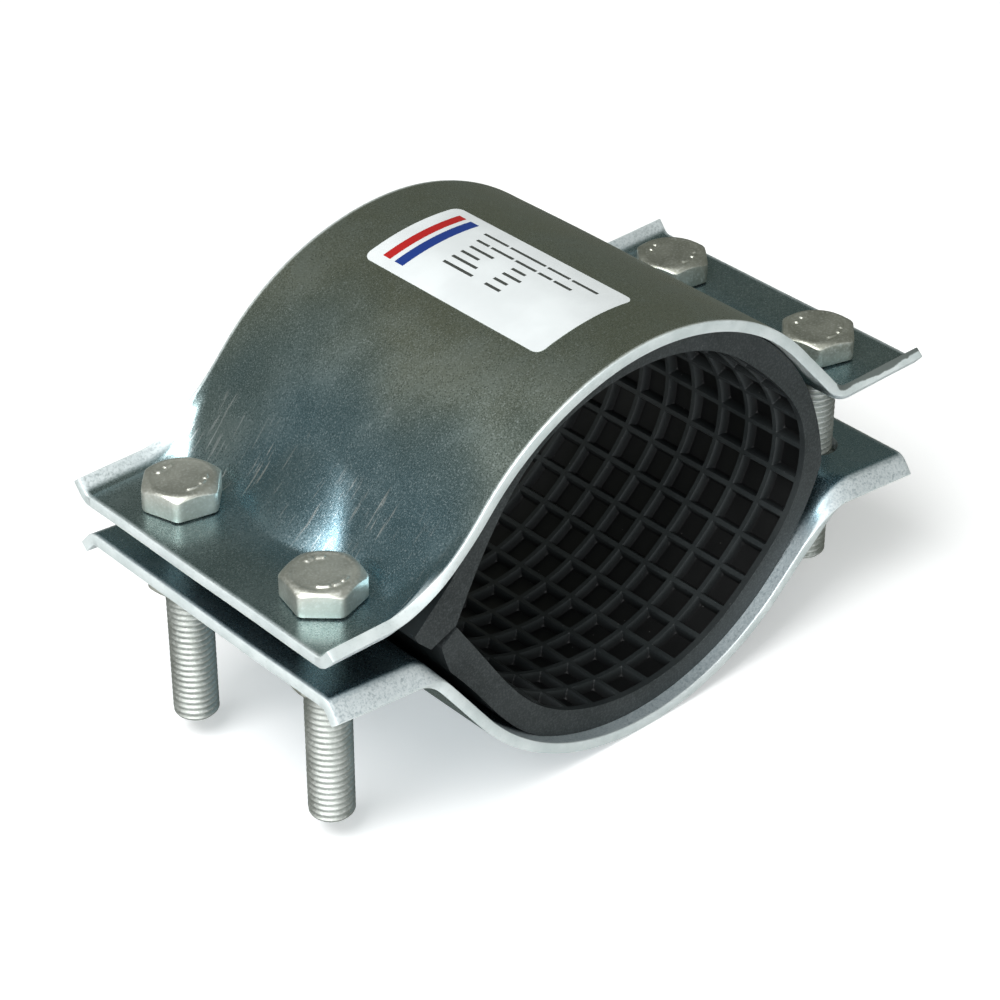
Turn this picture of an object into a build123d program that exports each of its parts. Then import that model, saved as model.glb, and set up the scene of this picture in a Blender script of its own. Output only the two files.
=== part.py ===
from build123d import *

import os
from math import cos, radians, sin, tan

# Two-part bolted repair clamp for DN100 pipe. Millimetres.
# Origin: centre of the rubber liner. +Y runs along the pipe, +Z points to the bolt heads,
# and the bolting ears reach out to -X and +X.

# Pressed halves. In a half's own frame z = 0 is the outer face of its ears.
SHEET = 3.0
SADDLE_HALF_LENGTH = 50.0
CROWN_RADIUS = 72.5
CREST_HEIGHT = 46.4
FLANK_ANGLE = 48.0
FOOT_RADIUS = 3.0
EAR_HALF_WIDTH = 101.5
EAR_ROOT = 76.0
LIP_CORNER = 45.4
LIP_ANGLE = 50.0
LIP_RADIUS = 2.0
LIP_RISE = 3.6
HOLE_RADIUS = 7.5

# Gusset between the two wrench pockets of each ear
GUSSET_TOP_X = 58.7
GUSSET_FOOT_X = 80.0
GUSSET_HALF_WIDTH = 14.0
GUSSET_TAPER = 15.0

# Where the halves stand: the clamp is loosely closed, so the lower half hangs askew
UPPER_X = -3.3
UPPER_EAR_Z = 12.9
LOWER_X = -3.0
LOWER_EAR_Z = -11.7
LOWER_TILT = 5.25

# Bolts M12 x 65 and thin nuts. The thread's first turns, at the free end, run a hair slimmer.
BOLT_X = 85.25
BOLT_Y = 27.5
SHANK_RADIUS = 5.95
SHANK_LENGTH = 65.0
LEAD_RADIUS = 5.9
LEAD_LENGTH = 20.0
TIP_CHAMFER = 1.8
HEAD_HEIGHT = 7.5
HEX_ACROSS_FLATS = 19.0
HEX_ACROSS_CORNERS = 21.3
HEX_CROWN_RADIUS = 8.8
HEX_CHAMFER_ANGLE = 30.0
WASHER_FACE_RADIUS = 8.3
WASHER_FACE_HEIGHT = 0.4
NUT_HEIGHT = 6.0
NUT_BORE_RADIUS = 6.0
NUT_PLAY = 0.05

# Rubber liner: a ring squeezed oval between the two saddles, pointed at its slanted lap joint,
# where one end turns outward as a flap. Its inner face passes through these XZ points.
LINER_HALF_LENGTH = 46.0
LINER_POINTS = (
    (-63.5, 2.0),
    (-54.0, 20.0),
    (-36.5, 40.5),
    (-7.0, 49.9),
    (20.5, 45.0),
    (43.0, 28.0),
    (57.5, 6.5),
    (57.5, -9.5),
    (40.5, -32.5),
    (22.0, -44.7),
    (-7.5, -48.2),
    (-35.5, -36.2),
    (-53.0, -14.0),
)
LINER_WALL = 7.6
LINER_OUTER_TIP = (-72.5, -2.5)
LINER_FLAP = ((-64.0, 2.8), (-71.4, -1.0), (-77.0, 4.5), (-69.0, 12.0))
LINER_CLEARANCE = 0.35
LAP_X = -67.0
LAP_GAP = 1.2
LAP_ANGLE = 26.0
LAP_CUT_LENGTH = 24.0

# Paper label on the crown
LABEL_THICKNESS = 0.15
LABEL_START_ANGLE = -17.3
LABEL_END_ANGLE = 8.3
LABEL_HALF_LENGTH = 32.5
LABEL_CORNER_RADIUS = 2.5

# Turn of each hexagon about its own axis, in degrees
BOLTS = {
    "front_left": (-1, -1, 17.0),
    "back_left": (-1, 1, 47.0),
    "front_right": (1, -1, 44.0),
    "back_right": (1, 1, 50.0),
}

CROWN_CENTRE_DEPTH = CROWN_RADIUS - CREST_HEIGHT


def tilted(origin_x, origin_z, degrees):
    """A half's frame, with its Z turned about +Y by so many degrees."""
    turn = radians(degrees)
    return Plane(
        origin=(origin_x, 0, origin_z),
        x_dir=(cos(turn), 0, -sin(turn)),
        z_dir=(sin(turn), 0, cos(turn)),
    )


UPPER_FRAME = tilted(UPPER_X, UPPER_EAR_Z, 0)
LOWER_FRAME = tilted(LOWER_X, LOWER_EAR_Z, 180 + LOWER_TILT)


def within(frame, plane):
    """A plane given in a half's own frame, placed in the clamp."""
    return Plane(frame.location * plane.location)


def save(builder, name):
    builder.part.label = name
    export_step(builder.part, f"parts/{name}.step")


def saddle_skin(depth):
    """Half the saddle's section line, so deep below the outer face."""
    slope = radians(FLANK_ANGLE)
    radius = CROWN_RADIUS - depth
    flank_start_x = radius * sin(slope)
    flank_start_z = radius * cos(slope) - CROWN_CENTRE_DEPTH
    corner_x = flank_start_x + (flank_start_z + depth) / tan(slope)
    crown = JernArc((0, CREST_HEIGHT - depth), (1, 0), radius, -FLANK_ANGLE)
    FilletPolyline(
        crown @ 1, (corner_x, -depth), (EAR_ROOT, -depth), radius=FOOT_RADIUS + depth
    )


def ear_skin(depth):
    """Half the ear's section line along the pipe: flat, then bent outward into a lip."""
    bend = radians(LIP_ANGLE)
    corner_y = LIP_CORNER + depth * tan(bend / 2)
    tip_y = LIP_CORNER + LIP_RISE / tan(bend) + depth * sin(bend)
    tip_z = LIP_RISE - depth * cos(bend)
    FilletPolyline(
        (0, -depth), (corner_y, -depth), (tip_y, tip_z), radius=LIP_RADIUS + depth
    )
    return tip_y, tip_z


def flank_height(x):
    """Height of the flank's outer face at this distance from the middle."""
    slope = radians(FLANK_ANGLE)
    start_z = CROWN_RADIUS * cos(slope) - CROWN_CENTRE_DEPTH
    return start_z - (x - CROWN_RADIUS * sin(slope)) * tan(slope)


def pressed_half(frame):
    """Saddle, two lipped ears, their gussets and bolt holes, pressed from one sheet."""
    top_z = flank_height(GUSSET_TOP_X)
    fall = Vector(GUSSET_FOOT_X - GUSSET_TOP_X, -top_z)
    inward_x, inward_z, _ = Vector(fall.Y, -fall.X).normalized() * SHEET
    ramp = (
        (GUSSET_TOP_X, top_z),
        (GUSSET_FOOT_X, 0),
        (GUSSET_FOOT_X - 2 * SHEET, -SHEET),
        (GUSSET_TOP_X, -SHEET),
    )
    hollow = (
        (GUSSET_TOP_X + inward_x, top_z + inward_z),
        (GUSSET_FOOT_X + inward_x, inward_z),
        (GUSSET_FOOT_X + inward_x, -3 * SHEET),
        (GUSSET_TOP_X + inward_x, -3 * SHEET),
    )

    with BuildPart() as half:
        with BuildSketch(within(frame, Plane.XZ)):
            with BuildLine():
                saddle_skin(0)
                saddle_skin(SHEET)
                Line((0, CREST_HEIGHT), (0, CREST_HEIGHT - SHEET))
                Line((EAR_ROOT, 0), (EAR_ROOT, -SHEET))
            make_face()
            mirror(about=Plane.YZ)
        extrude(amount=SADDLE_HALF_LENGTH, both=True)

        for side in (-1, 1):
            root = Plane.YZ.offset(side * (EAR_ROOT - SHEET / 2))
            with BuildSketch(within(frame, root)):
                with BuildLine():
                    Line(ear_skin(0), ear_skin(SHEET))
                    Line((0, 0), (0, -SHEET))
                make_face()
                mirror(about=Plane.YZ)
            extrude(amount=side * (EAR_HALF_WIDTH - EAR_ROOT + SHEET / 2))

            for outline, mode in ((ramp, Mode.ADD), (hollow, Mode.SUBTRACT)):
                for reach in (-GUSSET_HALF_WIDTH, GUSSET_HALF_WIDTH):
                    with BuildSketch(within(frame, Plane.XZ)):
                        with BuildLine():
                            Polyline([(side * x, z) for x, z in outline], close=True)
                        make_face()
                    extrude(amount=reach, taper=GUSSET_TAPER, mode=mode)

        with BuildSketch(frame):
            with GridLocations(2 * BOLT_X, 2 * BOLT_Y, 2, 2):
                Circle(HOLE_RADIUS)
        extrude(amount=-2 * SHEET, mode=Mode.SUBTRACT)
    return half


def bolt(side_x, side_y, turn):
    """Hex head bolt, head up, its shank down through both ears."""
    seat = Plane((UPPER_X + side_x * BOLT_X, side_y * BOLT_Y, UPPER_EAR_Z))
    corner_radius = HEX_ACROSS_CORNERS / 2
    crown_drop = (corner_radius - HEX_CROWN_RADIUS) * tan(radians(HEX_CHAMFER_ANGLE))
    with BuildPart() as screw:
        with BuildSketch(seat.offset(WASHER_FACE_HEIGHT)):
            RegularPolygon(HEX_ACROSS_FLATS / 2, 6, major_radius=False, rotation=turn)
        extrude(amount=HEAD_HEIGHT - WASHER_FACE_HEIGHT)
        with BuildSketch(within(seat, Plane.XZ)):
            with BuildLine():
                Polyline(
                    (0, 0),
                    (corner_radius, 0),
                    (corner_radius, HEAD_HEIGHT - crown_drop),
                    (HEX_CROWN_RADIUS, HEAD_HEIGHT),
                    (0, HEAD_HEIGHT),
                    close=True,
                )
            make_face()
        revolve(axis=Axis(seat.origin, (0, 0, 1)), mode=Mode.INTERSECT)
        with BuildSketch(seat):
            Circle(WASHER_FACE_RADIUS)
        extrude(amount=WASHER_FACE_HEIGHT)
        with BuildSketch(seat):
            Circle(SHANK_RADIUS)
        extrude(amount=LEAD_LENGTH - SHANK_LENGTH)
        with BuildSketch(seat.offset(LEAD_LENGTH - SHANK_LENGTH)):
            Circle(LEAD_RADIUS)
        extrude(amount=-LEAD_LENGTH)
        chamfer(screw.edges().group_by(Axis.Z)[0], TIP_CHAMFER)
    return screw


def nut(side_x, side_y, turn):
    """Hex nut, pulled up against the slanted underside of the lower ear."""
    x = UPPER_X + side_x * BOLT_X
    corner_radius = HEX_ACROSS_CORNERS / 2
    lowest_x = x + corner_radius
    top_z = LOWER_EAR_Z - (lowest_x - LOWER_X) * tan(radians(LOWER_TILT)) - NUT_PLAY
    crown_drop = (corner_radius - HEX_CROWN_RADIUS) * tan(radians(HEX_CHAMFER_ANGLE))
    foot = Plane((x, side_y * BOLT_Y, top_z - NUT_HEIGHT))
    with BuildPart() as hexagon:
        with BuildSketch(foot):
            RegularPolygon(HEX_ACROSS_FLATS / 2, 6, major_radius=False, rotation=turn)
            Circle(NUT_BORE_RADIUS, mode=Mode.SUBTRACT)
        extrude(amount=NUT_HEIGHT)
        with BuildSketch(within(foot, Plane.XZ)):
            with BuildLine():
                Polyline(
                    (0, 0),
                    (HEX_CROWN_RADIUS, 0),
                    (corner_radius, crown_drop),
                    (corner_radius, NUT_HEIGHT - crown_drop),
                    (HEX_CROWN_RADIUS, NUT_HEIGHT),
                    (0, NUT_HEIGHT),
                    close=True,
                )
            make_face()
        revolve(axis=Axis(foot.origin, (0, 0, 1)), mode=Mode.INTERSECT)
    return hexagon


def crown_centre(frame):
    """Centre of the saddle's arc, as (x, z) in the clamp."""
    centre = frame.from_local_coords((0, 0, -CROWN_CENTRE_DEPTH))
    return centre.X, centre.Z


def grown(points, amount):
    """An outline's points, each moved outward square to the line between its neighbours."""
    moved = []
    for before, point, after in zip(points[-1:] + points[:-1], points, points[1:] + points[:1]):
        along = Vector(after[0] - before[0], after[1] - before[1]).normalized()
        moved.append((point[0] - along.Y * amount, point[1] + along.X * amount))
    return moved


def rubber_liner():
    """Ring that fills the room between the two saddles, slit by its lap joint."""
    outer_points = grown(LINER_POINTS, LINER_WALL)
    outer_points[0] = LINER_OUTER_TIP
    with BuildPart() as ring:
        with BuildSketch(Plane.XZ):
            with BuildLine():
                Spline(*outer_points, outer_points[0])
            make_face()
            with Locations(crown_centre(UPPER_FRAME)):
                Circle(CROWN_RADIUS - SHEET - LINER_CLEARANCE, mode=Mode.INTERSECT)
            with Locations(crown_centre(LOWER_FRAME)):
                Circle(CROWN_RADIUS - SHEET, mode=Mode.INTERSECT)
            with BuildLine():
                Polyline(*LINER_FLAP, close=True)
            make_face()
            with Locations((LAP_X, 0)):
                Rectangle(LAP_CUT_LENGTH, LAP_GAP, rotation=LAP_ANGLE, mode=Mode.SUBTRACT)
        extrude(amount=LINER_HALF_LENGTH, both=True)
        with BuildSketch(Plane.XZ):
            with BuildLine():
                Spline(*LINER_POINTS, LINER_POINTS[0])
            make_face()
        extrude(amount=LINER_HALF_LENGTH, both=True, mode=Mode.SUBTRACT)
    return ring


def crown_label():
    """Thin sticker that follows the crown of the upper half."""
    with BuildPart() as sticker:
        centre = UPPER_FRAME.origin - Vector(0, 0, CROWN_CENTRE_DEPTH)
        with BuildSketch(Plane.XZ):
            with Locations((centre.X, centre.Z)):
                Circle(CROWN_RADIUS + LABEL_THICKNESS)
                Circle(CROWN_RADIUS, mode=Mode.SUBTRACT)
        extrude(amount=LABEL_HALF_LENGTH, both=True)
        start_x = CROWN_RADIUS * sin(radians(LABEL_START_ANGLE))
        end_x = CROWN_RADIUS * sin(radians(LABEL_END_ANGLE))
        with BuildSketch(Plane.XY):
            with Locations((centre.X + (start_x + end_x) / 2, 0)):
                RectangleRounded(end_x - start_x, 2 * LABEL_HALF_LENGTH, LABEL_CORNER_RADIUS)
        extrude(amount=2 * CROWN_RADIUS, mode=Mode.INTERSECT)
    return sticker


os.makedirs("parts", exist_ok=True)
save(pressed_half(UPPER_FRAME), "upper_shell")
save(pressed_half(LOWER_FRAME), "lower_shell")
save(rubber_liner(), "gasket")
save(crown_label(), "label")
for place, (side_x, side_y, turn) in BOLTS.items():
    save(bolt(side_x, side_y, turn), f"bolt_{place}")
    save(nut(side_x, side_y, turn), f"nut_{place}")
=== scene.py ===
import math

import bmesh
import bpy
import numpy as np
from mathutils import Matrix, Vector


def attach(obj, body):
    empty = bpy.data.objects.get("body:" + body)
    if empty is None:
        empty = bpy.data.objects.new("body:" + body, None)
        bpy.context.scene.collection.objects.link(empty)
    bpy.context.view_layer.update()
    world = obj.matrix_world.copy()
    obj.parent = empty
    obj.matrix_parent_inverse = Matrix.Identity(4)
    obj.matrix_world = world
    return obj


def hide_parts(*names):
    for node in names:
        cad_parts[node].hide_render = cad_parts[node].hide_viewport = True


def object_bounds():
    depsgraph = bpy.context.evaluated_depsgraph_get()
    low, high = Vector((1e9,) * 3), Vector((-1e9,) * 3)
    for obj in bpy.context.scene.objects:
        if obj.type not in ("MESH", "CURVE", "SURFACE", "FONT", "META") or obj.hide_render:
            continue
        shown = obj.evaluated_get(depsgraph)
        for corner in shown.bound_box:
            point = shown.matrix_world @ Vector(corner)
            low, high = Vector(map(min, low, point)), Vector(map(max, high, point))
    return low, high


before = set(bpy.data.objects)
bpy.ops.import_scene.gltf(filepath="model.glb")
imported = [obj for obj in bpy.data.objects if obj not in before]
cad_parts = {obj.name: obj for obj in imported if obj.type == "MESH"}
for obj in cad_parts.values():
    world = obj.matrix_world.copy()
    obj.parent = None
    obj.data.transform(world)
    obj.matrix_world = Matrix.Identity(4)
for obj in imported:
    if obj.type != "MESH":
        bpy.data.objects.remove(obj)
CAD_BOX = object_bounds()
RANDOM_SEED = 7
MM = 0.001

# The pressed halves, in millimetres, in a half's own frame: z = 0 is its ears' outer face
SHEET = 3.0
CROWN_RADIUS = 72.5
CREST_HEIGHT = 46.4
CROWN_CENTRE = CREST_HEIGHT - CROWN_RADIUS
FLANK_ANGLE = math.radians(48.0)
FOOT_FILLET = 3.2
SADDLE_HALF = 50.0
EAR_HALF_WIDTH = 101.5
LIP_START = 44.5
LIP_EDGE = 48.45
LIP_ANGLE = math.radians(50.0)
LIP_BEND_RADIUS = 2.0
HOLE_RADIUS = 7.5
BOLT_X = 85.25
BOLT_Y = 27.5
GUSSET_TOP = 62.0
GUSSET_FOOT = 79.0
GUSSET_SLOPE = 0.85
GUSSET_ROUNDING = 0.011
WRENCH_ROOM = 13.2
WRENCH_WALL_SLOPE = 1.9
WRENCH_EDGE = 1.2

# Where the halves stand in the clamp
UPPER_ORIGIN = (-3.3, 0.0, 12.9)
LOWER_ORIGIN = (-3.0, 0.0, -11.7)
LOWER_TURN = math.radians(180 + 5.25)

# Fasteners
THREAD_PITCH = 1.75
THREAD_MAJOR = 5.95
THREAD_MINOR = 5.05
THREAD_STEPS = 48
# (share of a pitch, share of the full depth)
THREAD_PROFILE = (
    (0.0, 0.0), (0.10, 0.0), (0.17, 0.07), (0.42, 0.88), (0.48, 1.0), (0.54, 1.0), (0.60, 0.88),
    (0.85, 0.07), (0.92, 0.0),
)
HEAD_HEIGHT = 7.5
HEAD_TOP = HEAD_HEIGHT - 0.32
CHAMFER_TOP = HEAD_HEIGHT - 0.36
CHAMFER_STEPS = (0.35, 0.7)
HEX_FLATS = 19.0
HEX_CORNERS = 21.3
HEX_CROWN = 8.8
HEX_STEPS = 120
WASHER_FACE = 0.4
NUT_HEIGHT = 6.0
SHANK_LENGTH = 65.0

# Liner
LINER_HALF_LENGTH = 46.0
LINER_POINTS = (
    (-63.5, 2.0), (-54.0, 20.0), (-36.5, 40.5), (-7.0, 49.9), (20.5, 45.0), (43.0, 28.0), (57.5, 6.5),
    (57.5, -9.5), (40.5, -32.5), (22.0, -44.7), (-7.5, -48.2), (-35.5, -36.2), (-53.0, -14.0),
)
LINER_WALL = 7.6
LINER_OUTER_TIP = (-72.5, -2.5)
LINER_FLAP = ((-71.4, -1.0), (-77.0, 4.5), (-69.0, 12.0))
LINER_CLEARANCE = 0.4
LAP = (-67.0, 0.0)
LAP_ANGLE = math.radians(26.0)
LAP_GAP = 0.7
RIB_PITCH_Y = 10.0
RIB_COUNT = 34
RIB_HALF = 0.8
POCKET_DEPTH = 2.5

LABEL_HALF_LENGTH = 32.5
LABEL_ANGLES = (math.radians(-17.3), math.radians(8.3))
LABEL_THICKNESS = 0.12


# ---------------------------------------------------------------- small helpers

def smooth_max(a, b, width):
    """The larger of two heights, with the crease between them rounded over width."""
    width = np.maximum(width, 1e-6)
    near = np.maximum(width - np.abs(a - b), 0) / width
    return np.maximum(a, b) + near * near * width / 4


def smooth_min(a, b, width):
    return -smooth_max(-np.asarray(a), -np.asarray(b), width)


def ease(low, high, value):
    """0 below low, 1 above high, a smooth step between."""
    t = np.clip((value - low) / (high - low), 0, 1)
    return t * t * (3 - 2 * t)


def new_object(name, points, faces, materials):
    """A mesh object from points in millimetres."""
    mesh = bpy.data.meshes.new(name)
    mesh.from_pydata([tuple(p * MM for p in q) for q in points], [], [tuple(f) for f in faces])
    mesh.validate()
    mesh.update()
    piece = bpy.data.objects.new(name, mesh)
    bpy.context.scene.collection.objects.link(piece)
    for material in materials:
        mesh.materials.append(material)
    return piece


def shade(piece, angle):
    """Smooth shading, kept sharp where faces meet at more than this many degrees."""
    mesh = piece.data
    mesh.polygons.foreach_set("use_smooth", [True] * len(mesh.polygons))
    mesh.set_sharp_from_angle(angle=math.radians(angle))


def apply_modifiers(piece):
    depsgraph = bpy.context.evaluated_depsgraph_get()
    mesh = bpy.data.meshes.new_from_object(piece.evaluated_get(depsgraph))
    piece.modifiers.clear()
    old = piece.data
    piece.data = mesh
    bpy.data.meshes.remove(old)


# ---------------------------------------------------------------- materials

class Nodes:
    """Short way to write a material's node tree."""

    def __init__(self, name):
        self.material = bpy.data.materials.new(name)
        self.material.use_nodes = True
        self.tree = self.material.node_tree
        self.shader = next(n for n in self.tree.nodes if n.type == "BSDF_PRINCIPLED")
        coordinates = self.tree.nodes.new("ShaderNodeTexCoord")
        self.place = coordinates.outputs["Object"]

    def node(self, kind, **values):
        made = self.tree.nodes.new(kind)
        for key, value in values.items():
            setattr(made, key, value)
        return made

    def link(self, source, target):
        self.tree.links.new(source, target)

    def stretch(self, scale, turn=(0, 0, 0)):
        mapping = self.node("ShaderNodeMapping")
        mapping.inputs["Scale"].default_value = scale
        mapping.inputs["Rotation"].default_value = turn
        self.link(self.place, mapping.inputs["Vector"])
        return mapping.outputs["Vector"]

    def noise(self, scale, detail=3.0, rough=0.5, at=None, warp=0.0):
        noise = self.node("ShaderNodeTexNoise")
        noise.inputs["Scale"].default_value = scale
        noise.inputs["Detail"].default_value = detail
        noise.inputs["Roughness"].default_value = rough
        noise.inputs["Distortion"].default_value = warp
        self.link(at or self.place, noise.inputs["Vector"])
        return noise.outputs["Fac"]

    def voronoi(self, scale):
        cells = self.node("ShaderNodeTexVoronoi")
        cells.inputs["Scale"].default_value = scale
        self.link(self.place, cells.inputs["Vector"])
        return cells.outputs["Distance"]

    def span(self, value, low, high, out_low=0.0, out_high=1.0):
        ranged = self.node("ShaderNodeMapRange")
        ranged.interpolation_type = "SMOOTHSTEP"
        ranged.inputs["From Min"].default_value = low
        ranged.inputs["From Max"].default_value = high
        ranged.inputs["To Min"].default_value = out_low
        ranged.inputs["To Max"].default_value = out_high
        self.link(value, ranged.inputs["Value"])
        return ranged.outputs["Result"]

    def math(self, operation, a, b):
        made = self.node("ShaderNodeMath", operation=operation)
        for socket, value in zip(made.inputs, (a, b)):
            if isinstance(value, (int, float)):
                socket.default_value = value
            else:
                self.link(value, socket)
        return made.outputs[0]

    def mix(self, factor, a, b):
        made = self.node("ShaderNodeMix", data_type="RGBA")
        for socket, value in zip((made.inputs[0], made.inputs[6], made.inputs[7]), (factor, a, b)):
            if isinstance(value, (int, float)):
                socket.default_value = value
            elif isinstance(value, tuple):
                socket.default_value = (*value, 1.0)
            else:
                self.link(value, socket)
        return made.outputs[2]

    def attribute(self, name):
        return self.node("ShaderNodeAttribute", attribute_name=name).outputs["Fac"]

    def bump(self, height, strength, distance_mm, below=None):
        made = self.node("ShaderNodeBump")
        made.inputs["Strength"].default_value = strength
        made.inputs["Distance"].default_value = distance_mm * MM
        self.link(height, made.inputs["Height"])
        if below is not None:
            self.link(below, made.inputs["Normal"])
        return made.outputs["Normal"]

    def set(self, values):
        for name, value in values.items():
            socket = self.shader.inputs[name]
            if isinstance(value, (int, float)):
                socket.default_value = value
            elif isinstance(value, tuple):
                socket.default_value = (*value, 1.0)
            else:
                self.link(value, socket)


def zinc_sheet_material():
    """Bright zinc plate: teal low down, olive on crown and ears, fine sparkle, tool marks, pale scuffs along
    lips and cut edges that are partly wear and partly painted sheen, and a painted sheen on the inside near
    the ends.
    """
    m = Nodes("zinc_sheet")
    tint = m.noise(11.0, 3.0, 0.5)
    tone = m.noise(45.0, 5.0, 0.6, warp=0.3)
    grain = m.noise(2600.0, 2.0, 0.6)
    sparkle = m.noise(1500.0, 1.0, 0.5)
    split = m.node("ShaderNodeSeparateXYZ")
    m.link(m.place, split.inputs[0])
    height = m.math("ADD", split.outputs["Z"], m.span(tint, 0.3, 0.7, -0.014, 0.014))
    olive = m.span(height, 0.016, 0.052)
    color = m.mix(olive, (0.20, 0.33, 0.39), (0.38, 0.41, 0.32))
    color = m.mix(m.math("MULTIPLY", m.attribute("ear"), 0.5), color, (0.27, 0.32, 0.29))
    color = m.mix(m.span(tone, 0.35, 0.75, 0.0, 0.35), color, (0.38, 0.46, 0.47))
    color = m.mix(m.span(grain, 0.52, 0.76, 0.0, 0.6), color, (0.72, 0.80, 0.82))
    color = m.mix(m.span(grain, 0.24, 0.46, 0.6, 0.0), color, (0.09, 0.14, 0.16))
    lines = m.noise(1.0, 3.0, 0.6, at=m.stretch((60.0, 900.0, 60.0)))
    scratch = m.math("MULTIPLY", m.span(lines, 0.60, 0.70), m.attribute("drawn"))
    color = m.mix(scratch, color, (0.72, 0.78, 0.80))
    long_lines = m.noise(1.0, 4.0, 0.6, at=m.stretch((35.0, 420.0, 90.0), (0.0, 0.0, 0.35)))
    color = m.mix(m.span(long_lines, 0.66, 0.76, 0.0, 0.35), color, (0.68, 0.74, 0.74))
    # pale, less metallic patches: along lips and cut edges partly wear and partly painted sheen; on the
    # inside near the ends a painted reflection of a bright light
    scuff_and_painted_sheen = m.math("MULTIPLY", m.span(m.noise(1500.0, 4.0, 0.7), 0.30, 0.58, 0.55, 1.0), m.attribute("scuff_and_painted_sheen"))
    color = m.mix(m.math("MULTIPLY", scuff_and_painted_sheen, 0.92), color, (0.80, 0.85, 0.86))
    rough = m.span(tone, 0.2, 0.8, 0.24, 0.33)
    rough = m.math("ADD", rough, m.span(grain, 0.3, 0.8, -0.04, 0.06))
    rough = m.math("ADD", rough, m.math("MULTIPLY", scuff_and_painted_sheen, 0.20))
    normal = m.bump(grain, 0.22, 0.04)
    normal = m.bump(sparkle, 0.12, 0.05, normal)
    normal = m.bump(m.noise(95.0, 3.0, 0.5), 0.20, 0.22, normal)
    normal = m.bump(lines, 0.08, 0.05, normal)
    normal = m.bump(scuff_and_painted_sheen, 0.25, 0.12, normal)
    metallic = m.math("SUBTRACT", 0.96, m.math("MULTIPLY", scuff_and_painted_sheen, 0.5))
    m.set({"Base Color": color, "Metallic": metallic, "Roughness": rough, "Normal": normal})
    return m.material


def cut_edge_material():
    """Sheared and galvanised sheet edge: pale, dull, with soft runs along it, darkened in places by painted
    shade.
    """
    m = Nodes("zinc_cut_edge")
    grain = m.noise(1300.0, 4.0, 0.6)
    run = m.noise(130.0, 4.0, 0.55)
    color = m.mix(m.span(run, 0.3, 0.7), (0.66, 0.73, 0.73), (0.80, 0.86, 0.86))
    color = m.mix(m.span(grain, 0.25, 0.45, 0.3, 0.0), color, (0.42, 0.46, 0.45))
    # painted shade: the upper side of the (+x, -y) lip's cut edge is darkened in colour, broken up by the
    # runs
    painted_edge_shade = m.math("ADD", m.attribute("painted_edge_shade"), m.span(run, 0.3, 0.7, -0.15, 0.15))
    color = m.mix(m.span(painted_edge_shade, 0.40, 0.55, 0.0, 0.9), color, (0.10, 0.12, 0.11))
    rough = m.span(grain, 0.3, 0.7, 0.36, 0.5)
    normal = m.bump(grain, 0.12, 0.05)
    normal = m.bump(run, 0.25, 0.12, normal)
    m.set({"Base Color": color, "Metallic": 0.45, "Roughness": rough, "Normal": normal})
    return m.material


def fastener_material(name, light, dark, smooth):
    """Dull galvanised steel of the bolts and nuts, with dark and pale freckles."""
    m = Nodes(name)
    cloud = m.noise(110.0, 4.0, 0.6)
    grain = m.noise(1500.0, 3.0, 0.6)
    color = m.mix(m.span(cloud, 0.3, 0.7), dark, light)
    color = m.mix(m.span(grain, 0.45, 0.75, 0.0, 0.5), color, (0.84, 0.86, 0.84))
    color = m.mix(m.span(grain, 0.22, 0.40, 0.35, 0.0), color, (0.34, 0.35, 0.32))
    rough = m.math("ADD", m.span(cloud, 0.2, 0.8, smooth, smooth + 0.1), m.span(grain, 0.3, 0.7, -0.04, 0.05))
    normal = m.bump(grain, 0.22, 0.06)
    normal = m.bump(m.noise(330.0, 4.0, 0.6), 0.30, 0.12, normal)
    m.set({"Base Color": color, "Metallic": 0.9, "Roughness": rough, "Normal": normal})
    return m.material


def rubber_material(name, speckle):
    """Moulded black rubber: matt, with dust and mould grain; ribs painted paler as painted highlight, pocket
    floors painted near black as painted shade.
    """
    m = Nodes(name)
    bloom = m.noise(55.0, 4.0, 0.6)
    grain = m.noise(1700.0, 3.0, 0.6)
    # painted highlight: the ribs' colour is raised to stand in for light on them
    ribs = m.mix(m.span(bloom, 0.3, 0.7), (0.016, 0.020, 0.021), (0.026, 0.031, 0.032))
    ribs = m.mix(m.span(grain, 0.4, 0.75, 0.0, speckle), ribs, (0.070, 0.080, 0.082))
    # painted shade: pocket floors near black, ribs paler, chosen by the rib attribute
    color = m.mix(m.attribute("rib"), (0.0025, 0.0028, 0.003), ribs)
    dust = m.voronoi(240.0)
    color = m.mix(m.span(dust, 0.02, 0.06, 0.5, 0.0), color, (0.16, 0.16, 0.15))
    rough = m.span(bloom, 0.2, 0.8, 0.44, 0.60)
    normal = m.bump(grain, 0.25, 0.05)
    normal = m.bump(m.noise(300.0, 2.0, 0.5), 0.2, 0.08, normal)
    m.set({"Base Color": color, "Roughness": rough, "Normal": normal, "Specular IOR Level": 0.4})
    return m.material


def plain_print(name, ink):
    """Label paper or ink: slightly glossy, with faint mottling and paper tooth."""
    m = Nodes(name)
    tooth = m.noise(900.0, 3.0, 0.6)
    cloud = m.noise(70.0, 3.0, 0.5)
    shade_of = tuple(0.90 * c for c in ink)
    color = m.mix(m.span(cloud, 0.3, 0.7), ink, shade_of)
    rough = m.span(tooth, 0.3, 0.7, 0.32, 0.42)
    m.set({"Base Color": color, "Roughness": rough, "Normal": m.bump(tooth, 0.06, 0.02)})
    return m.material


def floor_material():
    m = Nodes("studio_floor")
    cloud = m.noise(3.0, 2.0, 0.5)
    color = m.mix(m.span(cloud, 0.3, 0.7), (0.86, 0.86, 0.86), (0.89, 0.89, 0.89))
    m.set({"Base Color": color, "Roughness": 0.85, "Normal": m.bump(m.noise(800.0, 2.0), 0.02, 0.05)})
    m.set({"Emission Color": (1.0, 1.0, 1.0), "Emission Strength": 0.30})
    return m.material


# ---------------------------------------------------------------- pressed halves

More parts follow.
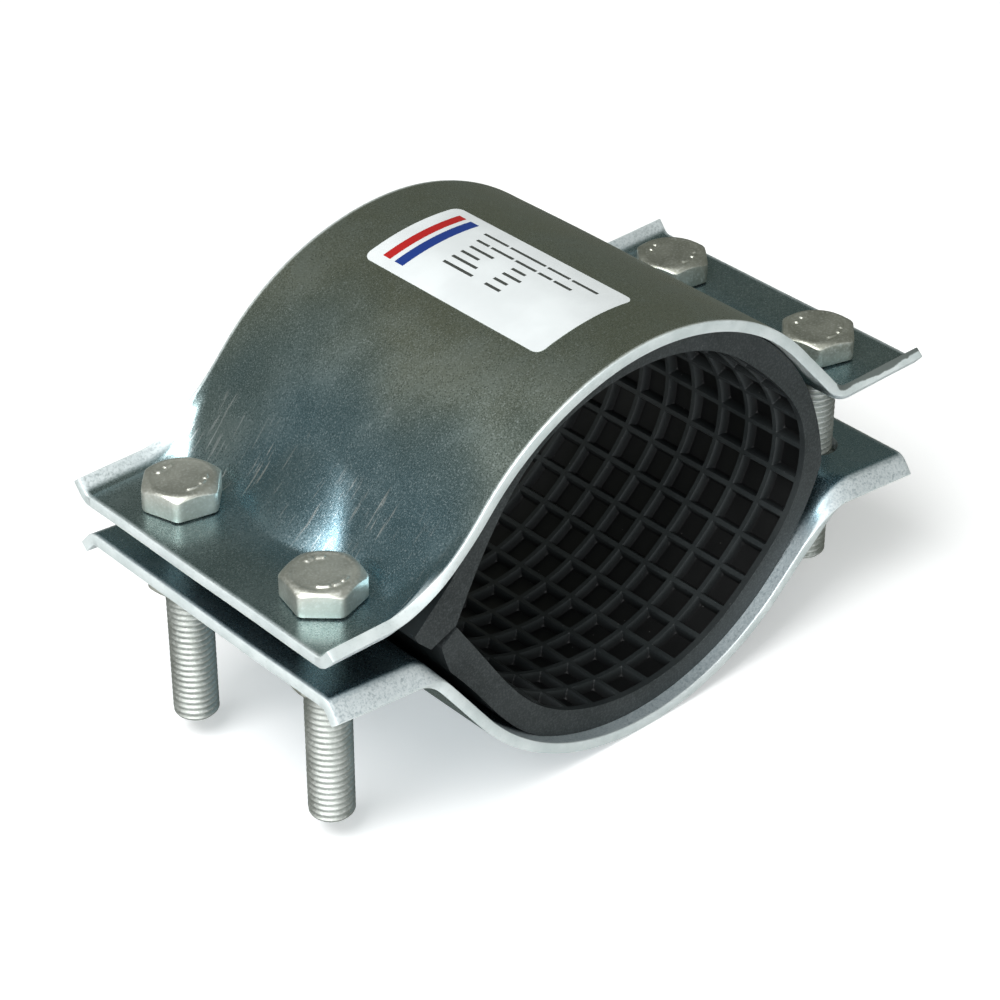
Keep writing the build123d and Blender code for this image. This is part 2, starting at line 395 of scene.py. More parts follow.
def grid_lines(*runs):
    """Positions of grid lines: each run is (start, end, step)."""
    values = []
    for start, end, step in runs:
        values.extend(np.linspace(start, end, max(1, round((end - start) / step)), endpoint=False))
    return np.array([*values, runs[-1][1]])


def mirrored(lines):
    return np.concatenate([-lines[:0:-1], lines])


def quads(index, flip=False):
    """Faces between neighbouring entries of a 2-D table of point numbers."""
    faces = np.stack([index[:-1, :-1], index[1:, :-1], index[1:, 1:], index[:-1, 1:]], axis=-1)
    faces = faces.reshape(-1, 4)
    return (faces[:, ::-1] if flip else faces).tolist()


def border(index):
    """Point numbers round the edge of a table, closed."""
    ring = np.concatenate([index[:, 0], index[-1, 1:], index[-2::-1, -1], index[0, -2:0:-1]])
    return np.append(ring, ring[0])


def blurred(field, passes):
    """A field over the grid, averaged with its neighbours; its edges keep their values."""
    for _ in range(passes):
        for axis in (0, 1):
            field = np.moveaxis(field, axis, 0)
            inner = (field[:-2] + 2 * field[1:-1] + field[2:]) / 4
            field = np.concatenate([field[:1], inner, field[-1:]])
            field = np.moveaxis(field, 0, axis)
    return field


def lip_height(y):
    """How far the ear's edge is bent up at this distance from the middle."""
    over = np.maximum(np.abs(y) - LIP_START, 0)
    bend = LIP_BEND_RADIUS * math.sin(LIP_ANGLE)
    curved = LIP_BEND_RADIUS - np.sqrt(np.maximum(LIP_BEND_RADIUS**2 - np.minimum(over, bend) ** 2, 0))
    return curved + np.maximum(over - bend, 0) * math.tan(LIP_ANGLE)


def half_height(x, y, rim_blend):
    """Outer face of a pressed half. rim_blend holds the fillet at each corner (x side, y side)."""
    reach = np.abs(x)
    arc = CROWN_CENTRE + np.sqrt(np.maximum(CROWN_RADIUS**2 - x**2, 1.0))
    flank_x = CROWN_RADIUS * math.sin(FLANK_ANGLE)
    flank_z = CROWN_CENTRE + CROWN_RADIUS * math.cos(FLANK_ANGLE)
    flank = flank_z - (reach - flank_x) * math.tan(FLANK_ANGLE)
    saddle = np.where(reach < flank_x, arc, flank)
    corner = sum(
        blend * (np.sign(x) == side_x) * (np.sign(y) == side_y)
        for (side_x, side_y), blend in rim_blend.items()
    )
    near_rim = ease(39.0, 48.0, np.abs(y)) * ease(96.0, 80.0, reach)
    fillet = FOOT_FILLET + (corner - FOOT_FILLET) * near_rim
    height = smooth_max(saddle, lip_height(y), fillet)
    past_top = np.maximum(GUSSET_TOP - reach, 0)
    gusset = (GUSSET_FOOT - reach) * GUSSET_SLOPE - GUSSET_ROUNDING * y**2 - 0.3 * past_top**2
    height = smooth_max(height, gusset, 1.0)
    from_bolt = np.hypot(reach - BOLT_X, np.abs(y) - BOLT_Y)
    room = smooth_max((from_bolt - WRENCH_ROOM) * WRENCH_WALL_SLOPE, 0, 1.0) + WRENCH_EDGE
    return smooth_min(height, np.maximum(room, lip_height(y) + WRENCH_EDGE), WRENCH_EDGE)


def pressed_half(name, origin, turn, rim_blend, painted_shade_share, seed):
    """One pressed half with rounded cut edges and its four bolt holes.

    The argument after rim_blend says how much painted shade darkens the cut edge of the (+x, -y) lip along
    its upper side.
    """
    x_lines = mirrored(grid_lines((0, 51, 1.5), (51, 87, 0.75), (87, EAR_HALF_WIDTH, 1.4)))
    y_lines = mirrored(grid_lines((0, 20, 0.8), (20, 44, 1.0), (44, LIP_EDGE, 0.4)))
    x, v = np.meshgrid(x_lines, y_lines, indexing="ij")
    rim = LIP_EDGE + (SADDLE_HALF - LIP_EDGE) * (1 - ease(64.0, 76.0, np.abs(x)))
    over = np.maximum(np.abs(v) - 44.0, 0) / (LIP_EDGE - 44.0)
    y = np.sign(v) * (np.minimum(np.abs(v), 44.0) + over * (rim - 44.0))
    random = np.random.default_rng(seed)
    uneven = 0
    for _ in range(7):
        wave_x, wave_y = random.uniform(-0.13, 0.13, 2)
        uneven = uneven + 0.06 * np.sin(wave_x * x + wave_y * y + random.uniform(0, 6.28))
    outer = np.stack([x, y, half_height(x, y, rim_blend) + uneven], axis=-1)

    normal = np.cross(np.gradient(outer, axis=0), np.gradient(outer, axis=1))
    normal /= np.linalg.norm(normal, axis=-1, keepdims=True)
    normal[..., 1] *= ease(62.0, 74.0, np.abs(x))
    normal[[0, -1], :, 0] = 0
    normal = blurred(normal, 6)
    normal[[0, -1], :, 0] = 0
    normal /= np.linalg.norm(normal, axis=-1, keepdims=True)
    inner = outer - SHEET * normal

    rows, columns = x.shape
    count = rows * columns
    points = np.concatenate([outer.reshape(-1, 3), inner.reshape(-1, 3)])
    index = np.arange(count).reshape(rows, columns)
    faces = quads(index) + quads(index + count, flip=True)
    skin_faces = len(faces)
    ring = border(index)
    faces += quads(np.stack([ring, ring + count]))

    cos_turn, sin_turn = math.cos(turn), math.sin(turn)
    placed = np.stack([
        points[:, 0] * cos_turn + points[:, 2] * sin_turn + origin[0],
        points[:, 1] + origin[1],
        points[:, 2] * cos_turn - points[:, 0] * sin_turn + origin[2],
    ], axis=-1)
    piece = new_object(name, placed, faces, (ZINC_SHEET, CUT_EDGE))
    mesh = piece.data
    for face in mesh.polygons[skin_faces:]:
        face.material_index = 1
    reach = np.abs(points[:, 0])
    from_edge = np.minimum(np.tile(rim.reshape(-1), 2) - np.abs(points[:, 1]), EAR_HALF_WIDTH - reach)
    # pale band on the lips and along the cut edges: partly wear, partly painted sheen
    scuff_and_painted_sheen = ease(45.6, 46.8, np.abs(points[:, 1])) * ease(66.0, 74.0, reach)
    scuff_and_painted_sheen = np.maximum(scuff_and_painted_sheen, ease(1.2, 0.2, from_edge))
    inside = np.arange(2 * count) >= count
    # painted reflection: the inside face next to the ends is brightened to stand in for a bright lamp's
    # reflection
    scuff_and_painted_sheen = np.maximum(scuff_and_painted_sheen, 0.7 * inside * ease(43.0, 45.0, np.abs(points[:, 1])) * ease(68.0, 60.0, reach))
    drawn = ease(58.0, 62.0, reach) * ease(80.0, 74.0, reach)
    ear = ease(78.0, 92.0, reach) * ~inside
    # painted shade: the outer cut edge of the (+x, -y) lip, past x = 66, is marked for darkening
    painted_edge_shade = painted_shade_share * ease(66.0, 72.0, points[:, 0]) * (points[:, 1] < 0) * ~inside
    for label, values in (("scuff_and_painted_sheen", scuff_and_painted_sheen), ("drawn", drawn), ("ear", ear), ("painted_edge_shade", painted_edge_shade)):
        mesh.attributes.new(label, "FLOAT", "POINT").data.foreach_set("value", values)

    bend = mesh.attributes.new("bevel_weight_edge", "FLOAT", "EDGE")
    on_ring = np.zeros(2 * count, dtype=bool)
    on_ring[ring] = True
    on_ring[ring + count] = True
    ends = np.array([edge.vertices[:] for edge in mesh.edges])
    bend.data.foreach_set("value", (on_ring[ends].all(axis=1)).astype(float))
    bevel = piece.modifiers.new("rounded_edges", "BEVEL")
    bevel.limit_method = "WEIGHT"
    bevel.width = 0.3 * MM
    bevel.segments = 2
    bevel.material = 1
    bevel.use_clamp_overlap = False
    apply_modifiers(piece)

    cutter = hole_cutter(origin, turn)
    holes = piece.modifiers.new("bolt_holes", "BOOLEAN")
    holes.operation = "DIFFERENCE"
    holes.object = cutter
    holes.solver = "EXACT"
    holes.material_mode = "TRANSFER"
    apply_modifiers(piece)
    bpy.data.objects.remove(cutter)
    shade(piece, 32.0)
    return piece


def hole_cutter(origin, turn):
    """Four short drums, where a half's bolt holes go."""
    turned = Matrix.Translation(Vector(origin) * MM) @ Matrix.Rotation(turn, 4, "Y")
    mesh = bmesh.new()
    for side_x in (-1, 1):
        for side_y in (-1, 1):
            place = turned @ Matrix.Translation(Vector((side_x * BOLT_X, side_y * BOLT_Y, -SHEET / 2)) * MM)
            bmesh.ops.create_cone(
                mesh, cap_ends=True, segments=56, radius1=HOLE_RADIUS * MM, radius2=HOLE_RADIUS * MM,
                depth=3 * SHEET * MM, matrix=place,
            )
    data = bpy.data.meshes.new("hole_cutter")
    mesh.to_mesh(data)
    mesh.free()
    data.materials.append(CUT_EDGE)
    cutter = bpy.data.objects.new("hole_cutter", data)
    bpy.context.scene.collection.objects.link(cutter)
    return cutter


# ---------------------------------------------------------------- bolts and nuts

def hexagon_radius(angle, turn):
    """Distance from the axis to a rounded hexagon's side."""
    folded = (angle - turn) % (math.pi / 3) - math.pi / 6
    flat = HEX_FLATS / 2 / np.cos(folded)
    return smooth_min(flat, HEX_CORNERS / 2, 0.35)


def chamfer_drop(radius):
    """How far the crown chamfer falls at this distance from the axis."""
    return np.maximum(radius - HEX_CROWN, 0) * math.tan(math.radians(30.0))


def turned_rows(rows, centre):
    """Points and faces of rings stacked round an axis; each row is (radii, heights, angles)."""
    points = []
    for radii, heights, angles in rows:
        radii, heights, angles = np.broadcast_arrays(radii, heights, angles)
        ring = np.stack([radii * np.cos(angles), radii * np.sin(angles), heights], axis=-1)
        points.append(ring + np.array(centre))
    around = len(points[0])
    index = np.arange(around * len(points)).reshape(len(points), around)
    index = np.concatenate([index, index[:, :1]], axis=1)
    return np.concatenate(points), quads(index.T)


def head_marks(radius, angle):
    """Height of the head's cast ring and of the plain raised dashes round its top."""
    marks = 0.10 * ease(0.45, 0.2, np.abs(radius - 8.0))
    turn = np.degrees(angle) % 360
    band = ease(0.75, 0.5, np.abs(radius - 6.0))
    for middle, width in ((40, 9), (66, 9), (214, 13), (247, 9), (272, 9)):
        marks = np.maximum(marks, 0.38 * band * ease(width + 4, width, np.abs(turn - middle)))
    return marks


def tip_radius(height):
    """The rounded point of the bolt: its radius at this height above the end."""
    return 3.9 + 2.1 * np.sqrt(np.clip(height / 2.0, 0, 1) * (2 - np.clip(height / 2.0, 0, 1)))


def bolt(name, centre, turn, head_material):
    """Hex head bolt with its full-length M12 thread, from the head's top down to the tip."""
    angles = np.linspace(0, 2 * math.pi, HEX_STEPS, endpoint=False)
    side = hexagon_radius(angles, turn)
    rows = [(0.01, HEAD_TOP + head_marks(0.0, angles), angles)]
    for radius in grid_lines((0.4, HEX_CROWN - 0.25, 0.35)):
        rows.append((radius, HEAD_TOP + head_marks(radius, angles - turn), angles))
    rows.append((HEX_CROWN, CHAMFER_TOP, angles))
    brow = CHAMFER_TOP - chamfer_drop(side)
    for share in CHAMFER_STEPS:
        radius = HEX_CROWN + share * (side - 0.25 - HEX_CROWN)
        rows.append((radius, CHAMFER_TOP - chamfer_drop(radius), angles))
    rows.append((side - 0.22, brow + 0.10, angles))
    rows.append((side - 0.05, brow - 0.10, angles))
    rows.append((side, brow - 0.35, angles))
    for share in (0.66, 0.33):
        rows.append((side, WASHER_FACE + 0.6 + share * (brow - 0.95 - WASHER_FACE), angles))
    rows.append((side, WASHER_FACE + 0.5, angles))
    rows.append((side - 0.12, WASHER_FACE + 0.12, angles))
    rows.append((side - 0.5, WASHER_FACE, angles))
    rows.append((8.3, WASHER_FACE, angles))
    rows.append((8.25, 0.0, angles))
    rows.append((THREAD_MAJOR, 0.0, angles))
    head_points, head_faces = turned_rows(rows, centre)
    head_faces = [face[::-1] for face in head_faces]

    angles = np.linspace(0, 2 * math.pi, THREAD_STEPS, endpoint=False)
    rows = []
    for lap in range(math.ceil(SHANK_LENGTH / THREAD_PITCH) + 1):
        for along, depth in THREAD_PROFILE:
            drop = (lap - 1 + along + angles / (2 * math.pi)) * THREAD_PITCH
            drop = np.clip(drop, 0.0, SHANK_LENGTH)
            radius = THREAD_MAJOR - depth * (THREAD_MAJOR - THREAD_MINOR) * ease(0.2, 1.4, drop)
            radius = np.minimum(radius, tip_radius(SHANK_LENGTH - drop))
            rows.append((radius, -drop, -angles))
    rows.append((3.4, -SHANK_LENGTH, -angles))
    rows.append((0.01, -SHANK_LENGTH, -angles))
    thread_points, thread_faces = turned_rows(rows, centre)
    offset = len(head_points)
    thread_faces = [[corner + offset for corner in face] for face in thread_faces]
    points = np.concatenate([head_points, thread_points])
    piece = new_object(name, points, head_faces + thread_faces, (head_material, THREAD))
    for face in piece.data.polygons[len(head_faces):]:
        face.material_index = 1
    clean(piece)
    shade(piece, 34.0)
    return piece


def nut(name, centre, turn):
    """Hex nut, chamfered on both faces, with a plain round bore."""
    angles = np.linspace(0, 2 * math.pi, HEX_STEPS, endpoint=False)
    side = hexagon_radius(angles, turn)
    half = NUT_HEIGHT / 2
    upper = [(6.05, half, angles), (6.7, half, angles), (HEX_CROWN, half, angles)]
    for share in CHAMFER_STEPS:
        radius = HEX_CROWN + share * (side - 0.25 - HEX_CROWN)
        upper.append((radius, half - chamfer_drop(radius), angles))
    brow = half - chamfer_drop(side)
    upper.append((side - 0.2, brow + 0.08, angles))
    upper.append((side - 0.05, brow - 0.12, angles))
    upper.append((side, brow - 0.4, angles))
    lower = [(radius, -height, ring) for radius, height, ring in reversed(upper)]
    bore = [(6.0, z, angles) for z in np.linspace(-half + 0.4, half - 0.4, 8)]
    rows = upper + [(side, 0.0, angles)] + lower + bore + upper[:1]
    points, faces = turned_rows(rows, centre)
    piece = new_object(name, points, [face[::-1] for face in faces], (FASTENER,))
    clean(piece)
    shade(piece, 34.0)
    return piece


def clean(piece):
    """Merges doubled points and turns every face outward."""
    mesh = bmesh.new()
    mesh.from_mesh(piece.data)
    bmesh.ops.remove_doubles(mesh, verts=mesh.verts, dist=0.002 * MM)
    bmesh.ops.dissolve_degenerate(mesh, edges=mesh.edges, dist=0.001 * MM)
    bmesh.ops.recalc_face_normals(mesh, faces=mesh.faces)
    mesh.to_mesh(piece.data)
    mesh.free()


# ---------------------------------------------------------------- rubber liner

def smooth_curve(points, count):
    """So many evenly spaced points on the natural cubic spline through the given ones."""
    points = np.array(points)
    steps = np.linalg.norm(np.diff(points, axis=0), axis=1)
    at = np.concatenate([[0], np.cumsum(steps)])
    size = len(points)
    system = np.eye(size)
    right = np.zeros((size, 2))
    slope = np.diff(points, axis=0) / steps[:, None]
    for i in range(1, size - 1):
        system[i, i - 1:i + 2] = steps[i - 1], 2 * (steps[i - 1] + steps[i]), steps[i]
        right[i] = 6 * (slope[i] - slope[i - 1])
    bend = np.linalg.solve(system, right)
    fine = np.linspace(0, at[-1], 4000)
    i = np.clip(np.searchsorted(at, fine) - 1, 0, size - 2)
    a, b, h = (at[i + 1] - fine)[:, None], (fine - at[i])[:, None], steps[i][:, None]
    curve = (bend[i] * a**3 + bend[i + 1] * b**3) / (6 * h)
    curve += (points[i] / h - bend[i] * h / 6) * a + (points[i + 1] / h - bend[i + 1] * h / 6) * b
    return evenly(curve, count)


def evenly(curve, count):
    """A polyline divided again: into so many equal lengths, or at the given shares of its length."""
    length = np.concatenate([[0], np.cumsum(np.linalg.norm(np.diff(curve, axis=0), axis=1))])
    marks = np.linspace(0, length[-1], count) if np.isscalar(count) else count * length[-1]
    return np.stack([np.interp(marks, length, curve[:, k]) for k in (0, 1)], axis=-1)


def outside_lap(curve):
    """The part of a closed curve that starts and ends at the lap's two faces."""
    across = np.array([-math.sin(LAP_ANGLE), math.cos(LAP_ANGLE)])
    distance = (curve - np.array(LAP)) @ across
    near_tip = curve[:, 0] < -50
    upper = np.arange(len(curve)) < len(curve) / 2
    keep = ~near_tip | np.where(upper, distance > LAP_GAP / 2, distance < -LAP_GAP / 2)
    return curve[keep]


def pocket_shape(distance):
    """0 on a rib, 1 on a pocket's floor, over a drafted wall with soft corners."""
    return ease(RIB_HALF - 0.15, RIB_HALF + 0.75, distance)


def crown_middle(origin, turn):
    """Centre of a half's crown arc, as (x, z)."""
    return np.array([
        origin[0] + CROWN_CENTRE * math.sin(turn),
        origin[2] + CROWN_CENTRE * math.cos(turn),
    ])


def rubber_liner():
    """Ribbed rubber ring: rows of square pockets inside, smooth outside, open at its lap."""
    closed = (*LINER_POINTS, LINER_POINTS[0])
    grown = []
    for before, point, after in zip(
        LINER_POINTS[-1:] + LINER_POINTS[:-1], LINER_POINTS, LINER_POINTS[1:] + LINER_POINTS[:1]
    ):
        along = np.subtract(after, before) / np.linalg.norm(np.subtract(after, before))
        grown.append((point[0] - along[1] * LINER_WALL, point[1] + along[0] * LINER_WALL))
    inner = outside_lap(smooth_curve(closed, 4000))
    grown[0] = LINER_OUTER_TIP
    outer = outside_lap(smooth_curve((*grown, grown[0]), 4000))
    for origin, turn, play in ((UPPER_ORIGIN, 0.0, LINER_CLEARANCE), (LOWER_ORIGIN, LOWER_TURN, 0.05)):
        middle = crown_middle(origin, turn)
        offset = outer - middle
        distance = np.linalg.norm(offset, axis=1, keepdims=True)
        limit = CROWN_RADIUS - SHEET - play
        outer = np.where(distance > limit, middle + offset * limit / distance, outer)
    above_flap = np.flatnonzero(outer[:, 1] > LINER_FLAP[-1][1] + 4.0)[0]
    outer = np.concatenate([LINER_FLAP, outer[above_flap:]])

    length = np.linalg.norm(np.diff(inner, axis=0), axis=1).sum()
    pitch = length / RIB_COUNT
    cell = np.array([0.0, 0.4, 0.65, 0.85, 1.05, 1.3, 1.55, 2.4])
    s_cell = np.concatenate([cell, [pitch / 2], pitch - cell[:0:-1]])
    s_lines = np.concatenate([s_cell + k * pitch for k in range(-1, RIB_COUNT + 1)])
    s_lines = np.concatenate([[0.0], s_lines[(s_lines > 0.15) & (s_lines < length - 0.15)], [length]])
    y_cell = np.concatenate([cell, [5.0], RIB_PITCH_Y - cell[:0:-1]])
    y_lines = np.concatenate([y_cell + RIB_PITCH_Y * k for k in np.arange(-4.5, 4.5)] + [[45.0]])
    y_lines = np.concatenate([[-LINER_HALF_LENGTH], y_lines, [LINER_HALF_LENGTH]])

    path = evenly(inner, s_lines / length)
    skin = evenly(outer, s_lines / length)
    tangent = np.gradient(path, axis=0)
    tangent /= np.linalg.norm(tangent, axis=1, keepdims=True)
    outward = np.stack([-tangent[:, 1], tangent[:, 0]], axis=-1)
    s, y = np.meshgrid(s_lines, y_lines, indexing="ij")
    from_axial = np.abs((s + pitch / 2) % pitch - pitch / 2)
    from_axial = np.minimum(from_axial, np.minimum(s, length - s))
    from_ring = np.abs((y - 5.0 + RIB_PITCH_Y / 2) % RIB_PITCH_Y - RIB_PITCH_Y / 2)
    from_ring = np.where(np.abs(y) > 44.0, 0.0, from_ring)
    depth = POCKET_DEPTH * np.minimum(pocket_shape(from_axial), pocket_shape(from_ring))
    surface = np.stack([
        path[:, 0, None] + outward[:, 0, None] * depth,
        y,
        path[:, 1, None] + outward[:, 1, None] * depth,
    ], axis=-1)
    back = np.stack([
        np.repeat(skin[:, :1], 2, axis=1),
        np.tile((-LINER_HALF_LENGTH, LINER_HALF_LENGTH), (len(skin), 1)),
        np.repeat(skin[:, 1:], 2, axis=1),
    ], axis=-1)
    rows, columns = s.shape
    index = np.arange(rows * columns).reshape(rows, columns)
    outside = rows * columns + np.arange(2 * rows).reshape(rows, 2)
    faces = quads(index) + quads(outside, flip=True)
    moulded = len(faces)
    faces.append([*index[:, 0], *outside[::-1, 0]])
    faces.append([*outside[:, 1], *index[::-1, -1]])
    for row in (0, -1):
        faces.append([*index[row], outside[row, 1], outside[row, 0]])
    points = np.concatenate([surface.reshape(-1, 3), back.reshape(-1, 3)])
    piece = new_object("rubber_liner_ring", points, faces, (RUBBER, RUBBER_END))
    for face in piece.data.polygons[moulded:]:
        face.material_index = 1
    # drives painted light: 1 on ribs and ends (painted paler), 0 on pocket floors (painted shade)
    rib = np.concatenate([1 - depth.reshape(-1) / POCKET_DEPTH, np.ones(2 * rows)])
    piece.data.attributes.new("rib", "FLOAT", "POINT").data.foreach_set("value", rib)
    clean(piece)
    shade(piece, 40.0)
    return piece


# ---------------------------------------------------------------- label

# Plain print on the label: (ink, across from, across to, along from, along to), from its middle
LABEL_BARS = [(1, -13.0, 13.0, 20.8, 24.0), (2, -13.0, 13.0, 25.6, 28.4)]
for across, words in (
    (11.0, (16.5, 7.5, 6.7, -6.3, -7.1, -15.1, -15.9, -25.0)),
    (7.2, (15.1, 10.5, 9.7, 1.5, 0.7, -6.9, -7.7, -12.5, -13.3, -19.5)),
    (3.8, (13.9, 5.2, -1.6, -6.6)),
    (0.8, (13.9, 7.3, -1.6, -8.1)),
    (-2.2, (13.9, 4.7, -1.6, -6.5)),
    (-5.2, (13.9, 3.1, -1.6, -7.1)),
):
    for start, end in zip(words[::2], words[1::2]):
        LABEL_BARS.append((3, across - 0.48, across + 0.48, end, start))


def crown_label():
    """Rounded sticker bent over the crown, with plain bars instead of print."""
    radius = CROWN_RADIUS + 0.03
    middle_angle = sum(LABEL_ANGLES) / 2
    half_width = radius * (LABEL_ANGLES[1] - LABEL_ANGLES[0]) / 2
    corner = 2.5
    u_marks = {round(value, 3) for bar in LABEL_BARS for value in bar[1:3]}
    v_marks = {round(value, 3) for bar in LABEL_BARS for value in bar[3:5]}
    u_lines = lines_through(u_marks, half_width, corner)
    v_lines = lines_through(v_marks, LABEL_HALF_LENGTH, corner)
    u, v = np.meshgrid(u_lines, v_lines, indexing="ij")
    a = np.clip((np.abs(u) - half_width + corner) / corner, 0, 1)
    b = np.clip((np.abs(v) - LABEL_HALF_LENGTH + corner) / corner, 0, 1)
    in_corner = (a > 0) & (b > 0)
    round_u = np.sign(u) * (half_width - corner + corner * a * np.sqrt(1 - b * b / 2))
    round_v = np.sign(v) * (LABEL_HALF_LENGTH - corner + corner * b * np.sqrt(1 - a * a / 2))
    u_at, v_at = np.where(in_corner, round_u, u), np.where(in_corner, round_v, v)

    def layer(lift, inset):
        angle = middle_angle + u_at * (1 - inset / half_width) / radius
        distance = radius + lift
        return np.stack([
            UPPER_ORIGIN[0] + distance * np.sin(angle),
            v_at * (1 - inset / LABEL_HALF_LENGTH),
            UPPER_ORIGIN[2] + CROWN_CENTRE + distance * np.cos(angle),
        ], axis=-1).reshape(-1, 3)

    rows, columns = u.shape
    count = rows * columns
    index = np.arange(count).reshape(rows, columns)
    ring = border(index)
    faces = quads(index) + quads(np.stack([ring, ring + count])) + quads(index + count, flip=True)
    points = np.concatenate([layer(LABEL_THICKNESS, 0.05), layer(0.0, 0.0)])
    piece = new_object("printed_label", points, faces, (PAPER, INK_BLUE, INK_RED, INK_BLACK))
    across = (u_lines[1:] + u_lines[:-1]) / 2
    along = (v_lines[1:] + v_lines[:-1]) / 2
    ink = np.zeros((rows - 1, columns - 1), dtype=int)
    for color, u_low, u_high, v_low, v_high in LABEL_BARS:
        covers_u = (across > u_low) & (across < u_high)
        covers_v = (along > v_low) & (along < v_high)
        ink[np.ix_(covers_u, covers_v)] = color
    for face, color in zip(piece.data.polygons, ink.reshape(-1)):
        face.material_index = int(color)
    shade(piece, 40.0)
    return piece


def lines_through(marks, half, corner):
    """Grid lines from -half to half through all the marks, close together in the corners."""
    edge = half - corner + corner * np.linspace(0, 1, 7)
    lines = np.concatenate([sorted(marks), -edge, edge, np.arange(-edge[0], edge[0], 2.0)])
    lines = np.unique(np.round(lines, 3))
    keep = [lines[0]]
    for line in lines[1:]:
        if line - keep[-1] > 0.12 or line in marks or line == lines[-1]:
            keep.append(line)
    return np.array(keep)


# ---------------------------------------------------------------- the clamp

ZINC_SHEET = zinc_sheet_material()
CUT_EDGE = cut_edge_material()
FASTENER = fastener_material("galvanised_head", (0.67, 0.68, 0.61), (0.53, 0.54, 0.48), 0.36)
# darker copy of the same galvanised head material: painted shade for the right-hand heads
FASTENER_PAINTED_SHADE = fastener_material("galvanised_head_painted_shade", (0.52, 0.53, 0.46), (0.38, 0.39, 0.33), 0.36)
THREAD = fastener_material("galvanised_thread", (0.54, 0.56, 0.53), (0.42, 0.44, 0.41), 0.44)
RUBBER = rubber_material("moulded_rubber", 0.10)
RUBBER_END = rubber_material("rubber_end_face", 0.6)
PAPER = plain_print("label_paper", (0.66, 0.69, 0.695))
INK_BLUE = plain_print("label_blue", (0.010, 0.035, 0.20))
INK_RED = plain_print("label_red", (0.40, 0.012, 0.012))
INK_BLACK = plain_print("label_dark", (0.05, 0.055, 0.05))


def fit(piece, body, node):
    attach(piece, body)
    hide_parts(node)


upper_rims = {(-1, -1): 15.0, (-1, 1): 14.0, (1, -1): 2.5, (1, 1): 10.0}
lower_rims = {(-1, -1): 9.0, (-1, 1): 9.0, (1, -1): 2.5, (1, 1): 9.0}
# 1.0 paints shade on the upper half's (+x, -y) lip edge; the lower half gets none
fit(pressed_half("upper_pressing", UPPER_ORIGIN, 0.0, upper_rims, 1.0, RANDOM_SEED),
    "upper_half", "upper_shell")
fit(pressed_half("lower_pressing", LOWER_ORIGIN, LOWER_TURN, lower_rims, 0.0, RANDOM_SEED + 1),
    "lower_half", "lower_shell")
fit(rubber_liner(), "lower_half", "gasket")
fit(crown_label(), "upper_half", "label")

# Turn of each hexagon about its own axis, in degrees
BOLTS = {
    "front_left": (-1, -1, 17.0),
    "back_left": (-1, 1, 47.0),
    "front_right": (1, -1, 44.0),
    "back_right": (1, 1, 50.0),
}
for place, (side_x, side_y, degrees) in BOLTS.items():
    turn = math.radians(degrees)
    bolt_x, bolt_y = UPPER_ORIGIN[0] + side_x * BOLT_X, side_y * BOLT_Y
    # the right-hand heads take the darker copy: painted shade, not a different zinc
    head_material = FASTENER if side_x < 0 else FASTENER_PAINTED_SHADE
    screw = bolt(f"hex_bolt_{place}", (bolt_x, bolt_y, UPPER_ORIGIN[2]), turn, head_material)
    fit(screw, f"bolt_{place}", f"bolt_{place}")
    lowest_x = bolt_x + HEX_CORNERS / 2
    nut_top = LOWER_ORIGIN[2] - (lowest_x - LOWER_ORIGIN[0]) * math.tan(LOWER_TURN - math.pi) - 0.05
    hexagon = nut(f"hex_nut_{place}", (bolt_x, bolt_y, nut_top - NUT_HEIGHT / 2), turn)
    fit(hexagon, "lower_half", f"nut_{place}")

# ---------------------------------------------------------------- studio

bpy.ops.mesh.primitive_plane_add(size=12.0, location=(0, 0, CAD_BOX[0][2] - 0.0002))
floor = bpy.context.object
floor.name = "studio_floor"
floor.data.materials.append(floor_material())
floor.visible_glossy = False


def softbox(name, direction, distance, size, power):
    """A square soft light that faces the clamp."""
    light = bpy.data.lights.new(name, "AREA")
    light.shape = "SQUARE"
    light.size = size
    light.energy = power
    lamp = bpy.data.objects.new(name, light)
    bpy.context.scene.collection.objects.link(lamp)
    towards = Vector(direction).normalized()
    lamp.location = towards * distance
    lamp.rotation_euler = towards.to_track_quat("Z", "Y").to_euler()


softbox("overhead_left", (-0.50, -0.08, 0.86), 1.2, 0.80, 15.0)
softbox("front_fill", (-0.62, -0.70, 0.30), 1.6, 0.8, 5.0)

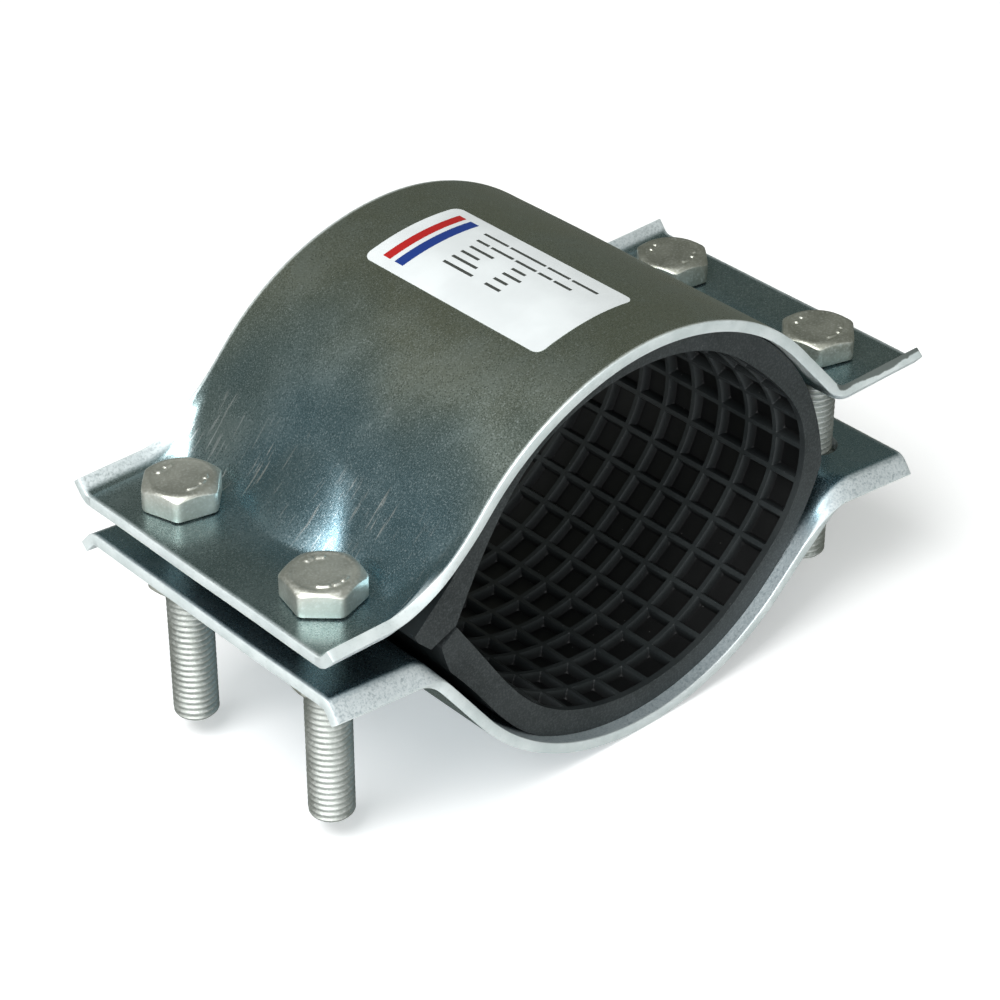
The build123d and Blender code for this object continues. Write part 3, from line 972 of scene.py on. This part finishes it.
world = bpy.data.worlds.new("studio")
bpy.context.scene.world = world
world.use_nodes = True
tree = world.node_tree
background = tree.nodes["Background"]
direction = tree.nodes.new("ShaderNodeTexCoord").outputs["Generated"]
split = tree.nodes.new("ShaderNodeSeparateXYZ")
tree.links.new(direction, split.inputs[0])


def world_math(operation, a, b):
    made = tree.nodes.new("ShaderNodeMath")
    made.operation = operation
    for socket, value in zip(made.inputs, (a, b)):
        if isinstance(value, (int, float)):
            socket.default_value = value
        else:
            tree.links.new(value, socket)
    return made.outputs[0]


# The room is pale in front of the clamp and dark behind it
front = world_math("MULTIPLY", split.outputs["Y"], -0.66)
front = world_math("ADD", front, world_math("MULTIPLY", split.outputs["X"], -0.75))
ramp = tree.nodes.new("ShaderNodeMapRange")
ramp.interpolation_type = "SMOOTHSTEP"
ramp.inputs["From Min"].default_value = 0.15
ramp.inputs["From Max"].default_value = 0.65
tree.links.new(front, ramp.inputs["Value"])
room = tree.nodes.new("ShaderNodeMix")
room.data_type = "RGBA"
tree.links.new(ramp.outputs["Result"], room.inputs[0])
room.inputs[6].default_value = (0.135, 0.145, 0.125, 1.0)
room.inputs[7].default_value = (1.15, 1.20, 1.22, 1.0)
seen = tree.nodes.new("ShaderNodeMix")
seen.data_type = "RGBA"
tree.links.new(tree.nodes.new("ShaderNodeLightPath").outputs["Is Camera Ray"], seen.inputs[0])
tree.links.new(room.outputs[2], seen.inputs[6])
seen.inputs[7].default_value = (0.86, 0.86, 0.86, 1.0)
tree.links.new(seen.outputs[2], background.inputs["Color"])
background.inputs["Strength"].default_value = 1.0

camera_data = bpy.data.cameras.new("camera")
camera_data.lens = 107.29
camera_data.sensor_width = 36.0
camera = bpy.data.objects.new("camera", camera_data)
bpy.context.scene.collection.objects.link(camera)
facing = Vector((0.56038639, 0.61682916, -0.55271049)).normalized()
upward = Vector((0.37023429, 0.41038766, 0.83337179)).normalized()
rightward = facing.cross(upward).normalized()
upward = rightward.cross(facing)
turned = Matrix((rightward, upward, -facing)).transposed().to_4x4()
camera.matrix_world = Matrix.Translation((-0.44318, -0.47948, 0.42036)) @ turned
bpy.context.scene.camera = camera
bpy.context.scene.view_settings.view_transform = "Standard"
